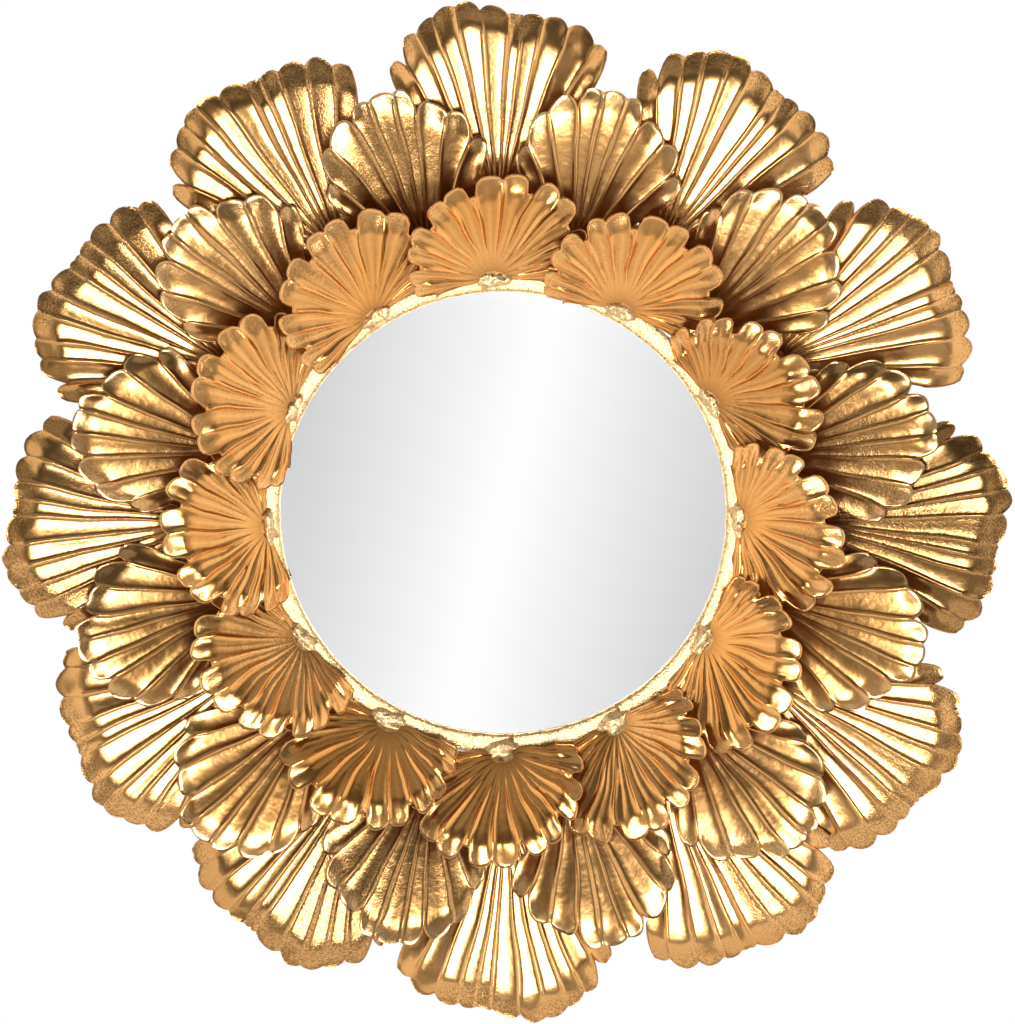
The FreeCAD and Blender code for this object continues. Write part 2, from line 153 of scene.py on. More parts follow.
class Shade(Nodes):
    """A material with its Principled shader, and the patterns that its finish is mixed from."""

    def __init__(self, name: str) -> None:
        """Makes the material under its name."""
        self.material = bpy.data.materials.new(name)
        super().__init__(self.material)
        self.surface = self.tree.nodes["Principled BSDF"]

    def grain(self, size: float, detail: float = 3.0, rough: float = 0.55) -> Wire:
        """Noise over the Object coordinates.

        Args:
            size: About how large its blotches are.
            detail: How many octaves it has.
            rough: How strong the fine octaves are.

        Returns:
            The noise, around 0.5.
        """
        at = self.node("ShaderNodeTexCoord", {}, {}, "Object")
        inputs = {"Vector": at, "Scale": 1 / size, "Detail": detail, "Roughness": rough}
        return self.node("ShaderNodeTexNoise", {}, inputs)

    def coordinate(self, axis: str) -> Wire:
        """The Object coordinate along an axis, X, Y or Z."""
        at = self.node("ShaderNodeTexCoord", {}, {}, "Object")
        return self.node("ShaderNodeSeparateXYZ", {}, {0: at}, axis)

    def ramp(self, value: Wire, *stops: tuple[float, Colour]) -> Wire:
        """A colour ramp over a value."""
        return self.node("ShaderNodeValToRGB", {"stops": stops}, {0: value})

    def step(self, value: Wire, low: float, high: float) -> Wire:
        """0 below low, 1 above high and smooth between."""
        smooth = {"interpolation_type": "SMOOTHSTEP"}
        return self.node("ShaderNodeMapRange", smooth, {0: value, 1: low, 2: high})

    def mix(self, share: object, first: object, second: object) -> Wire:
        """A blend of two colours."""
        sockets = {0: share, 6: first, 7: second}
        return self.node("ShaderNodeMix", {"data_type": "RGBA"}, sockets, 2)

    def trait(self, name: str) -> Wire:
        """A number that the mesh carries at each point."""
        return self.node("ShaderNodeAttribute", {"attribute_name": name}, {}, "Fac")

    def bump(self, height: Wire, depth: float, onto: Wire | None = None) -> Wire:
        """A bump from a height.

        Args:
            height: The height, from 0 to 1.
            depth: What a height of 1 stands for.
            onto: A bump that this one is laid on.

        Returns:
            The normal.
        """
        inputs = {"Height": height, "Distance": depth, "Strength": 1.0}
        if onto is not None:
            inputs["Normal"] = onto
        return self.node("ShaderNodeBump", {}, inputs)

    def glow(self, colour: object, strength: float = 1.0) -> Wire:
        """A shader that gives off light."""
        return self.node("ShaderNodeEmission", {}, {"Color": colour, "Strength": strength})

    def cover(self, shader: Wire) -> None:
        """Makes a shader the material's surface."""
        self.tree.links.new(shader.source, self.tree.nodes["Material Output"].inputs["Surface"])

    def dress(self, **inputs: object) -> bpy.types.Material:
        """Feeds the Principled shader, with _ for the spaces of its sockets, and returns the material."""
        self.feed(self.surface, {name.replace("_", " "): value for name, value in inputs.items()})
        return self.material


@dataclass(frozen=True)
class LeafGold:
    """Gold leaf over pressed sheet, smooth on the panels and grainy towards the lobes.

    Flecks are the finest speckles, patches the places where they gather, and clouds and dents the slow
    changes in shine and height. A field such as edge_grain says how much of the first makes the second.
    """

    name: str
    bright: Colour = (0.97, 0.62, 0.29)
    base: Colour = (0.86, 0.455, 0.16)
    deep: Colour = (0.52, 0.25, 0.08)
    bronze: Colour = (0.30, 0.165, 0.06)
    shadow: Colour = (0.12, 0.06, 0.025)
    # painted shade: the colour that the necks and the hollows between the ribs are darkened towards, with
    # patina in the hollows
    painted_shade_and_patina: Colour = (0.12, 0.06, 0.025)
    # painted light on the bent tips: a painted highlight where this colour is lighter than the gold,
    # painted shade where it is darker
    pale: Colour = (1.0, 0.74, 0.42)
    tone_stops: tuple[float, float, float] = (0.2, 0.45, 0.8)
    roughness: float = 0.22
    graininess: float = 1.0
    painted_tip_share: float = 0.15
    fleck_size: float = 0.0015
    fleck_depth: float = 0.00024
    patch_size: float = 0.09
    cloud_size: float = 0.02
    dent_size: float = 0.013
    dent_depth: float = 0.0004
    grain_start: float = 0.50
    grain_full: float = 0.74
    edge_grain: float = 0.24
    dull_grain: float = 0.05
    patch_tone: float = 0.4
    grain_tone: float = 0.10
    fleck_tone: float = 0.2
    grain_fleck_tone: float = 2.2
    dull_bronze: float = 0.8
    fleck_bronze: float = 0.6
    grain_painted_tip: float = 0.5
    back_shadow: float = 0.8
    cloud_rough: float = 0.14
    grain_rough: float = 0.05
    back_rough: float = 0.2
    dull_rough: float = 0.03
    smooth_fleck: float = 0.1

    def make(self) -> bpy.types.Material:
        """Makes the finish.

        Returns:
            The finished material.
        """
        shade = Shade(self.name)
        edge, neck, back, dull = (shade.trait(name) for name in ("edge", "neck", "back", "dull"))
        fleck = shade.grain(self.fleck_size, detail=2, rough=0.6) - 0.5
        patch = shade.grain(self.patch_size, detail=1, rough=0.4)
        cloud = shade.grain(self.cloud_size) - 0.5
        gathered = patch + edge * self.edge_grain + dull * self.dull_grain
        grainy = shade.step(gathered, self.grain_start, self.grain_full) * self.graininess
        tone = 0.5 + (patch - 0.5) * self.patch_tone - grainy * self.grain_tone
        tone = tone + fleck * (self.fleck_tone + grainy * self.grain_fleck_tone)
        golds = zip(self.tone_stops, (self.deep, self.base, self.bright))
        colour = shade.ramp(tone.clamp(), *golds)
        bronzed = dull * (self.dull_bronze - self.fleck_bronze * (fleck + 0.5))
        colour = shade.mix(bronzed, colour, self.bronze)
        # painted highlight on the middle and inner tiers' bent tips and painted shade on the outer tier's,
        # thinned where the leaf is grainy
        colour = shade.mix(edge * self.painted_tip_share * (1 - grainy * self.grain_painted_tip), colour, self.pale)
        # painted shade at the necks, and painted shade with patina in the hollows between the ribs
        colour = shade.mix(neck, colour, self.painted_shade_and_patina)
        colour = shade.mix(back * self.back_shadow, colour, self.shadow)
        rough = self.roughness + self.cloud_rough * cloud + self.grain_rough * grainy
        rough = rough + self.back_rough * back - self.dull_rough * dull
        leafing = shade.bump(fleck * (self.smooth_fleck + grainy), self.fleck_depth)
        dents = shade.bump(shade.grain(self.dent_size, detail=2), self.dent_depth, leafing)
        return shade.dress(Base_Color=colour, Metallic=1.0, Roughness=rough, Normal=dents)


@dataclass(frozen=True)
class CrustGold:
    """Thick brushed gold over weld and wire."""

    name: str
    bright: Colour = (0.95, 0.68, 0.36)
    base: Colour = (0.78, 0.47, 0.19)
    deep: Colour = (0.33, 0.15, 0.05)
    tone_stops: tuple[float, float, float] = (0.3, 0.47, 0.66)
    roughness: float = 0.3
    lump: float = 0.0035
    lump_depth: float = 0.0010
    lumps_per_cloud: float = 2.0
    cloud_rough: float = 0.35

    def make(self) -> bpy.types.Material:
        """Makes the finish.

        Returns:
            The finished material.
        """
        shade = Shade(self.name)
        lumps = shade.grain(self.lump, detail=4, rough=0.6)
        colour = shade.ramp(lumps, *zip(self.tone_stops, (self.deep, self.base, self.bright)))
        cloud = shade.grain(self.lump * self.lumps_per_cloud) - 0.5
        normal = shade.bump(lumps, self.lump_depth)
        rough = self.roughness + self.cloud_rough * cloud
        return shade.dress(Base_Color=colour, Metallic=1.0, Roughness=rough, Normal=normal)


@dataclass(frozen=True)
class MirrorSilver:
    """Silvered plate glass with a faint haze."""

    name: str
    tint: Colour = (0.90, 0.905, 0.905)
    haze_share: float = 0.985
    haze_size: float = 0.09
    roughness: float = 0.015

    def make(self) -> bpy.types.Material:
        """Makes the finish.

        Returns:
            The finished material.
        """
        shade = Shade(self.name)
        haze = shade.grain(self.haze_size, detail=2, rough=0.4)
        hazy = tuple(self.haze_share * part for part in self.tint)
        colour = shade.ramp(haze, (0.3, hazy), (0.7, self.tint))
        return shade.dress(Base_Color=colour, Metallic=1.0, Roughness=self.roughness)


@dataclass(frozen=True)
class Mottled:
    """A finish mottled between a light and a dark colour, such as rubber, foam, board or steel."""

    name: str
    light: Colour
    dark: Colour
    roughness: float
    mottle: float
    mottle_depth: float = 0.0002
    mottle_rough: float = 0.15
    metal: float = 0.0

    def make(self) -> bpy.types.Material:
        """Makes the finish.

        Returns:
            The finished material.
        """
        shade = Shade(self.name)
        grain = shade.grain(self.mottle, detail=4, rough=0.65)
        colour = shade.ramp(grain, (0.3, self.dark), (0.7, self.light))
        rough = self.roughness + self.mottle_rough * (grain - 0.5)
        normal = shade.bump(grain, self.mottle_depth)
        return shade.dress(Base_Color=colour, Metallic=self.metal, Roughness=rough, Normal=normal)


def held(value: float) -> float:
    """The value held between 0 and 1."""
    return min(max(value, 0), 1)


def deselect() -> None:
    """Clears the selection."""
    bpy.ops.object.select_all(action="DESELECT")


def finish_with(piece: bpy.types.Object, kind: str, **settings: object) -> None:
    """Adds a modifier to a piece and applies it.

    Args:
        piece: The piece.
        kind: The modifier's type.
        settings: The modifier's properties.
    """
    modifier = piece.modifiers.new(kind.lower(), kind)
    for key, value in settings.items():
        setattr(modifier, key, value)
    bpy.context.view_layer.objects.active = piece
    bpy.ops.object.modifier_apply(modifier=modifier.name)


def settle(piece: bpy.types.Object, name: str, material: bpy.types.Material) -> None:
    """Names a piece, gives it its finish and lets it ride on the body.

    Args:
        piece: The piece, with its place in its mesh.
        name: The piece's name.
        material: Its finish.
    """
    piece.name = piece.data.name = name
    piece.data.materials.clear()
    piece.data.materials.append(material)
    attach(piece, BODY)
    LOG.info("%s: %d faces", name, len(piece.data.polygons))


@dataclass(frozen=True)
class Leaf:
    """One leaf of a tier: where it sits and how the hand left it.

    The clock, spin, nod and leans are in degrees and the slide is in millimetres. The bends are shares of
    the tier's tip angle at each rib, and the curls, from -1 to 1, raise or lower each lobe's tip.
    """

    number: int
    clock: float
    slide: float
    spin: float
    bends: list[float]
    leans: list[float]
    curls: list[float]
    swell: float
    seed: float
    nod: float


@dataclass(frozen=True)
class Hoop:
    """A rod hoop of the frame, with its depth in front of the wall."""

    radius: float
    depth: float
    rod_radius: float
    sheet_and_tang: float = 2.55
    sink: float = 0.5

    def leaf_depth(self, tilt: float) -> float:
        """Depth of a tilted leaf whose tang rests on the hoop."""
        above = self.sheet_and_tang + self.rod_radius - self.sink
        return self.depth + above / math.cos(math.radians(tilt))


@dataclass(frozen=True)
class Tier:
    """A tier of pressed leaves, all from one die.

    The edges place the ribs across the fan, from -1 to 1. The reaches give each lobe's length, and the
    notches how deep the cut is on each side of it, as shares of the length. The clocks, slides, spins,
    nods, dulls and bend shares go once round the tier, clockwise from the top. Angles are in degrees.
    """

    name: str
    length: float
    neck: float
    half_fan: float
    edges: tuple[float, ...]
    reaches: tuple[float, ...]
    notches: tuple[float, ...]
    rib_height: float
    cup: float
    bow: float
    tip: float
    tip_angle: float
    tilt: float
    twist: float
    inset: float
    radius: float
    depth: float
    clocks: tuple[float, ...]
    slides: tuple[float, ...]
    spins: tuple[float, ...] = (0,) * LEAVES
    nods: tuple[float, ...] = (0,) * LEAVES
    dulls: tuple[float, ...] = (0,) * LEAVES
    bend_shares: tuple[float, ...] = (1,) * LEAVES
    rib_foot: float = 0.9
    rib_taper: float = 0.008
    rib_width_limit: float = 0.45
    half_rib_share: float = 0.0
    channel: float = 0.045
    lean: float = 4.5
    flare: float = 0.0
    flare_power: float = 4.0
    droop: float = 0.0
    foot: float = 0.0
    wobble: float = 0.02
    wobble_waves: float = 3.0
    stretch: float = 0.0
    notch_power: float = 1.5
    notch_gap: float = 0.0
    round_lobes: bool = False
    softness: float = 5.0
    bend_play: float = 0.4
    bend_line: float = 4.0
    bend_waves: float = 2.2
    curl: float = 0.08
    dome: float = 1.0
    tip_fade: float = 0.3
    lip: float = 0.8
    lip_start: float = 0.97
    swell: float = 1.6
    crumple: float = 0.4
    crumple_waves: float = 0.028
    relief_rise: float = 2.2
    hand_slide: float = 7.5
    # painted shade: how far out from the neck it reaches, how much of it a rib's crest escapes, and how
    # much shade and patina is painted into the hollows
    painted_neck_shade_reach: float = 14.0
    crest_unshaded_share: float = 0.5
    hollow_shade_and_patina: float = 0.1
    sheet: float = 0.9
    smooth_angle: float = 55.0
    columns_per_lobe: int = 12
    rows: int = 60
    rib_crowding: float = 0.7
    edge_crowding: float = 1.3

    def leaves(self) -> list[Leaf]:
        """Lays out the tier's leaves.

        Returns:
            The leaves in clock order, each with its own hand-bent differences.
        """
        made = []
        lobes = len(self.reaches)
        for index, (clock, slide, spin) in enumerate(zip(self.clocks, self.slides, self.spins)):
            draw = random.Random(f"{self.name} {index}")
            bend = self.bend_shares[index]
            made.append(Leaf(
                number=index + 1, clock=clock, slide=self.hand_slide * slide, spin=spin,
                bends=[bend + self.bend_play * draw.uniform(-1, 1) for _ in range(lobes + 1)],
                leans=[self.lean * draw.uniform(-1, 1) for _ in range(lobes)],
                curls=[draw.uniform(-1, 1) for _ in range(lobes)],
                swell=draw.uniform(-1, 1), seed=draw.uniform(0, 100), nod=self.nods[index],
            ))
        return made

    def reach_share(self, lobe: int, part: float) -> float:
        """How far the uncut leaf reaches at a point across a lobe, blended from lobe to lobe.

        Args:
            lobe: The lobe's index.
            part: How far across the lobe the point is, from 0 to 1.

        Returns:
            The reach, as a share of the tier's length.
        """
        centred = lobe + part - 0.5
        left = min(max(math.floor(centred), 0), len(self.reaches) - 2)
        blend = held(centred - left)
        return self.reaches[left] * (1 - blend) + self.reaches[left + 1] * blend

    def cut(self, depth: float, away: float) -> float:
        """How far a notch cuts into the leaf's reach.

        Args:
            depth: The notch's depth, as a share of the reach.
            away: How far from the notch the point is, as a share of the lobe's width.

        Returns:
            The share of the reach that is cut away.
        """
        floor = self.notch_gap * depth
        climb = held((away - floor) / (0.5 - floor))
        if self.round_lobes:
            return depth * (1 - math.sqrt(1 - (1 - climb) ** 2))
        return depth * (1 - math.sin(math.pi / 2 * climb)) ** self.notch_power

    def rib_hump(self, distance: float, half_width: float) -> float:
        """1 on a rib's crest, falling to 0 at the rib's half width."""
        return 0.5 + 0.5 * math.cos(math.pi * min(distance / half_width, 1))

    def relief(self, leaf: Leaf, lobe: int, part: float, rho: float) -> tuple[float, float]:
        """How far the ribs and the hollow panels between them stand out.

        Args:
            leaf: The leaf.
            lobe: The lobe's index.
            part: How far across the lobe the point is, from 0 to 1.
            rho: Its distance from the point where the ribs meet.

        Returns:
            The height, and the rib's share of its full height.
        """
        last = len(self.reaches) - 1
        width = rho * math.radians(self.half_fan) * (self.edges[lobe + 1] - self.edges[lobe])
        half_rib = min(self.rib_foot + self.rib_taper * rho, self.rib_width_limit * width)
        crest = self.rib_hump(part * width, half_rib) if lobe > 0 else 0
        crest += self.rib_hump((1 - part) * width, half_rib) if lobe < last else 0
        crest += self.half_rib_share * self.rib_hump(abs(part - 0.5) * width, half_rib)
        hollow = self.channel * 4 * part * (1 - part)
        swing = math.sin(math.pi * part) * (2 * part - 1) * math.tan(math.radians(leaf.leans[lobe]))
        return self.rib_height * crest + width * (swing - hollow), min(crest, 1)

    def angle(self, leaf: Leaf, turn: float, row: float) -> float:
        """The angle between a point and the leaf's middle line.

        Args:
            leaf: The leaf.
            turn: Where across the fan the point is, from -1 to 1.
            row: How far from the neck to the edge it is, from 0 to 1.

        Returns:
            The angle in radians.
        """
        flare = (self.flare + self.droop * leaf.slide) * (1 - row) ** self.flare_power
        waves = Vector((self.wobble_waves * turn, self.wobble_waves * row, leaf.seed))
        return math.radians(self.half_fan) * (turn + turn ** 3 * flare) + self.wobble * noise.noise(waves)

    def arch(self, across: float, rho: float) -> float:
        """How far the leaf's cup and bow lift a point."""
        half_width = self.length * math.sin(min(math.radians(self.half_fan), math.pi / 2))
        return self.cup * (across / half_width) ** 2 + self.bow * ((rho - self.neck) / self.length) ** 2

    def roll(self, leaf: Leaf, lobe: int, part: float, past_bend: float) -> float:
        """How far the rolled tip drops a point.

        Args:
            leaf: The leaf.
            lobe: The lobe's index.
            part: How far across the lobe the point is, from 0 to 1.
            past_bend: How far past the line of the bend it is.

        Returns:
            The drop, which a curl that lifts the lobe makes smaller.
        """
        bent = (past_bend + math.hypot(past_bend, self.softness)) / 2
        bend = leaf.bends[lobe] * (1 - part) + leaf.bends[lobe + 1] * part
        drop = bent * math.tan(math.radians(self.tip_angle * bend))
        drop -= self.curl * leaf.curls[lobe] * math.sin(math.pi * part) * max(past_bend, 0)
        return drop + self.dome * held(past_bend / self.tip) * (2 * part - 1) ** 2

    def shade_and_patina_share(self, crest: float, rho: float, over: float) -> float:
        """How much painted shade a point takes, at the neck and, with patina, in the hollows between the
        ribs.

        Args:
            crest: The rib's share of its full height there.
            rho: The point's distance from where the ribs meet.
            over: How far over the bend it is, from 0 to 1.

        Returns:
            The darkness, from 0 to 1.
        """
        # the neck's painted shade, fading outwards and lighter on the crests
        neck = (1 - self.crest_unshaded_share * crest) * min(1, math.exp(-(rho - self.neck) / self.painted_neck_shade_reach))
        return max(neck, self.hollow_shade_and_patina * (1 - crest) * (1 - over))

    def point(self, leaf: Leaf, lobe: int, part: float, row: float) -> tuple[Vector, float, float]:
        """A point of the leaf's front face about the point where its ribs meet.

        Args:
            leaf: The leaf.
            lobe: The lobe's index.
            part: How far across the lobe the point is, from 0 to 1.
            row: How far from the neck to the edge it is, from 0 to 1.

        Returns:
            The point, its share of painted shade and patina, and how far over the bend it is.
        """
        turn = self.edges[lobe] * (1 - part) + self.edges[lobe + 1] * part
        reach = self.length * self.reach_share(lobe, part)
        reach += self.stretch * (1 - self.bend_shares[leaf.number - 1])
        notch = self.cut(self.notches[lobe], part) + self.cut(self.notches[lobe + 1], 1 - part)
        rho = self.neck + row * (reach * (1 - notch) - self.neck)
        angle = self.angle(leaf, turn, row)
        across = rho * math.sin(angle) + self.foot * turn * (1 - row) ** 2
        along = rho * math.cos(angle)
        spot = Vector((across * self.crumple_waves, along * self.crumple_waves, leaf.seed))
        past_bend = rho - (reach - self.tip) + self.bend_line * noise.noise(spot * self.bend_waves)
        over = held(past_bend / self.tip)
        rise = min(1, self.relief_rise * rho / self.length)
        height, crest = self.relief(leaf, lobe, part, rho)
        height *= rise * (1 - self.tip_fade * held((rho - reach + self.tip) / self.tip))
        height += self.arch(across, rho) - self.roll(leaf, lobe, part, past_bend)
        height += self.crumple * noise.noise(spot) * rise
        height += self.swell * leaf.swell * math.sin(math.pi * row)
        height += self.lip * max((row - self.lip_start) / (1 - self.lip_start), 0) ** 2
        return Vector((across, -height, along)), self.shade_and_patina_share(crest, rho, over), over

    def seat(self, leaf: Leaf) -> Matrix:
        """Works out a leaf's place on the frame.

        Args:
            leaf: The leaf.

        Returns:
            What carries the leaf there from the die, in millimetres.
        """
        return (
            Matrix.Rotation(math.radians(leaf.clock), 4, "Y")
            @ Matrix.Translation((0, -self.depth, self.radius))
            @ Matrix.Rotation(math.radians(self.tilt + leaf.nod), 4, "X")
            @ Matrix.Rotation(math.radians(self.twist), 4, "Z")
            @ Matrix.Translation((0, 0, leaf.slide - self.inset))
            @ Matrix.Rotation(math.radians(leaf.spin), 4, "Y")
        )

    def column(self, number: int) -> tuple[int, float]:
        """Where a column of the grid falls, with the columns crowded towards the ribs.

        Args:
            number: The column's number.

        Returns:
            The lobe's index, and how far across the lobe the column is.
        """
        lobe = min(number // self.columns_per_lobe, len(self.reaches) - 1)
        step = number / self.columns_per_lobe - lobe
        return lobe, step - self.rib_crowding * math.sin(2 * math.pi * step) / (2 * math.pi)

    def press(self, leaf: Leaf) -> bpy.types.Object:
        """Presses one leaf out of a flat grid.

        Args:
            leaf: The leaf.

        Returns:
            The leaf at its place, with its traits and its sheet's thickness.
        """
        columns = len(self.reaches) * self.columns_per_lobe
        deselect()
        bpy.ops.mesh.primitive_grid_add(x_subdivisions=columns, y_subdivisions=self.rows, size=1)
        piece = bpy.context.object
        carry = Matrix.Scale(MM, 4) @ self.seat(leaf)
        places, shade_and_patina_values, edges = [], [], []
        for vertex in piece.data.vertices:
            lobe, part = self.column(round((vertex.co.x + 0.5) * columns))
            row = vertex.co.y + 0.5
            spot, neck, edge = self.point(leaf, lobe, part, 1 - (1 - row) ** self.edge_crowding)
            places.extend(carry @ spot)
            shade_and_patina_values.append(neck)
            edges.append(edge)
        piece.data.vertices.foreach_set("co", places)
        dulls = [self.dulls[leaf.number - 1]] * len(shade_and_patina_values)
        # the neck trait carries the painted shade and patina
        self.mark(piece, neck=shade_and_patina_values, edge=edges, dull=dulls, back=[0.0] * len(shade_and_patina_values))
        self.thicken(piece)
        return piece

    def mark(self, piece: bpy.types.Object, **traits: list[float]) -> None:
        """Gives a piece's points the traits that its finish reads.

        Args:
            piece: The piece.
            traits: A value for each point, by the trait's name.
        """
        for name, values in traits.items():
            trait = piece.data.attributes.new(name, "FLOAT", "POINT")
            trait.data.foreach_set("value", values)
        piece.data.update()

    def thicken(self, piece: bpy.types.Object) -> None:
        """Gives a pressed grid its sheet behind its front face, and marks that side as the back.

        Args:
            piece: The pressed grid.
        """
        front = len(piece.data.vertices)
        normal = sum((face.normal * face.area for face in piece.data.polygons), Vector())
        if normal.y > 0:
            piece.data.flip_normals()
        finish_with(piece, "SOLIDIFY", thickness=self.sheet * MM, offset=-1.0)
        back = piece.data.attributes["back"].data
        for index in range(front, len(back)):
            back[index].value = 1.0
        deselect()
        piece.select_set(True)
        bpy.context.view_layer.objects.active = piece
        bpy.ops.object.shade_smooth_by_angle(angle=math.radians(self.smooth_angle))

    def build(self, finish: LeafGold) -> None:
        """Builds and dresses every leaf of the tier.

        Args:
            finish: The tier's gold.
        """
        material = finish.make()
        for leaf in self.leaves():
            piece = self.press(leaf)
            settle(piece, f"{self.name}_pressed_leaf_{leaf.number:02d}", material)
            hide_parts(f"{self.name}_leaf_{leaf.number:02d}")


REAR_HOOP = Hoop(radius=250, depth=6, rod_radius=4)
MIDDLE_HOOP = Hoop(radius=228, depth=11, rod_radius=2.5)
OUTER_TILT = 6.5
MIDDLE_TILT = 15

OUTER = Tier(
    name="outer", length=169.5, neck=14, half_fan=38.5,
    edges=(-1, -0.80, -0.59, -0.44, -0.27, -0.10, 0.12, 0.24, 0.38, 0.58, 0.80, 1),
    reaches=(0.84, 0.925, 0.955, 0.99, 1, 0.967, 0.93, 0.943, 0.953, 0.951, 0.905),
    notches=(0.17, 0.10, 0.022, 0.015, 0.012, 0.032, 0.022, 0.012, 0.022, 0.035, 0.03, 0.18),
    rib_height=0.936, cup=-5, bow=-6, tip=19, tip_angle=27, tilt=OUTER_TILT, twist=3.5, inset=12,
    radius=REAR_HOOP.radius, depth=REAR_HOOP.leaf_depth(OUTER_TILT),
    clocks=(-1.0, 30.5, 60.2, 91.3, 122.5, 148.0, 179.5, 208.5, 238.0, 268.0, 298.0, 327.5),
    slides=(0.2, 0.5, 0.55, -0.35, 0.8, 0.65, 0.4, -0.8, -1, -1, -0.15, 0.15),
    nods=(0, 0.3, 0.3, 5.2, 1, 0.9, 0.6, 2.5, 0, 2, 2, 1.5),
    dulls=(0, 0.1, 0, 1.3, 0.2, 0, 0.1, 0.7, 0.2, 0.6, 0.5, 0.4),
    flare=1.15, bend_play=0.3,
)
MIDDLE = Tier(
    name="middle", length=140, neck=15, half_fan=46,
    edges=(-1, -0.76, -0.52, -0.27, -0.10, 0.08, 0.25, 0.50, 0.755, 1),
    reaches=(0.68, 0.84, 0.94, 0.987, 1, 0.993, 0.90, 0.857, 0.745),
    notches=(0.22, 0.08, 0.035, 0.08, 0.02, 0.02, 0.09, 0.035, 0.12, 0.22),
    rib_height=0.792, cup=2, bow=-4, tip=14, tip_angle=19, tilt=MIDDLE_TILT, twist=1, inset=14,
    radius=MIDDLE_HOOP.radius, depth=MIDDLE_HOOP.leaf_depth(MIDDLE_TILT),
    clocks=(15.0, 46.0, 77.5, 108.5, 138.0, 165.3, 195.4, 223.5, 252.0, 283.0, 312.5, 344.0),
    slides=(-0.2, -0.05, -0.05, 0.05, 0.25, 0.4, 0.3, 0.2, 0.2, -0.45, -0.35, -0.15),
    dulls=(0, 0, 0.6, 0, 0, 0.1, 1, 0, 0.5, 0.3, 0, 0.7),
    bend_shares=(0.8, 0.8, 1, 1, 1, 1, 1, 1, 1, 1, 0.9, 0.9),
    flare=1.0, softness=6, painted_neck_shade_reach=10, hollow_shade_and_patina=0.06,
)
INNER = Tier(
    name="inner", length=93, neck=4, half_fan=103,
    edges=(-1, -0.85, -0.69, -0.54, -0.385, -0.23, -0.08, 0.08, 0.23, 0.385, 0.55, 0.70, 0.86, 1),
    reaches=(0.64, 0.71, 0.775, 0.85, 0.90, 0.93, 0.955, 0.985, 1, 0.965, 0.875, 0.78, 0.68),
    notches=(0.25, 0.045, 0.145, 0.045, 0.145, 0.045, 0.14, 0.045, 0.14, 0.05, 0.145, 0.045, 0.145, 0.25),
    rib_height=1.495, cup=22, bow=2, tip=17, tip_angle=31, tilt=31, twist=8, inset=0,
    radius=191, depth=24.5,
    clocks=(-2.6, 29.5, 61.0, 91.0, 122.0, 152.0, 180.0, 208.5, 237.5, 266.5, 296.5, 327.0),
    slides=(0, -0.05, -0.15, -0.15, 0.1, 0.5, 0.6, 0.35, -0.05, -0.45, -0.55, -0.2),
    spins=(0, -10, 2, 4, 2, 2, -2, -2, -4, -5, -10, -3),
    nods=(-4.6, -3.3, -0.3, -0.3, -0.3, -1.2, -0.9, -0.5, 0, 0, -2.1, -3.4),
    dulls=(0, 0, 0.5, 0, 0, 0, 0.2, 0.2, 0, 0, 0, 0),
    bend_shares=(0.5, 0.6, 1.04, 1.1, 1.06, 1.03, 1.03, 1.03, 1.06, 1.08, 0.6, 0.5),
    rib_foot=1.5, rib_taper=0.035, half_rib_share=0.8, channel=0.08, lean=5,
    flare=0.35, droop=0.07, foot=7, wobble=0.05, stretch=4, notch_gap=1.0, round_lobes=True,
    softness=4, bend_play=0.1, dome=0.4, tip_fade=0.85, lip=0.9, swell=0.8, crumple=0.9,
    painted_neck_shade_reach=11, hollow_shade_and_patina=0.36,
)

# the outer tier's tips take painted shade, the middle and inner tiers' tips a painted highlight
OUTER_GOLD = LeafGold("outer_gold", pale=(0.50, 0.26, 0.09), painted_tip_share=0.45)
MIDDLE_GOLD = LeafGold("middle_gold", base=(0.74, 0.38, 0.125), graininess=0.5, painted_tip_share=0.4)
# the inner tier's painted shade is a deep orange, standing in for the glow that the gold leaves throw on
# each other
INNER_GOLD = LeafGold(
    "inner_gold", base=(1.0, 0.475, 0.132), deep=(0.68, 0.28, 0.065), painted_shade_and_patina=(0.30, 0.11, 0.028),
    pale=(1.0, 0.67, 0.33), roughness=0.23, graininess=0.6, painted_tip_share=0.4,
)
BRAZE_GOLD = CrustGold(
    "braze_gold", bright=(1.0, 0.84, 0.54), base=(0.95, 0.64, 0.30), deep=(0.50, 0.25, 0.08),
    roughness=0.29, lump=0.0019, lump_depth=0.0006,
)


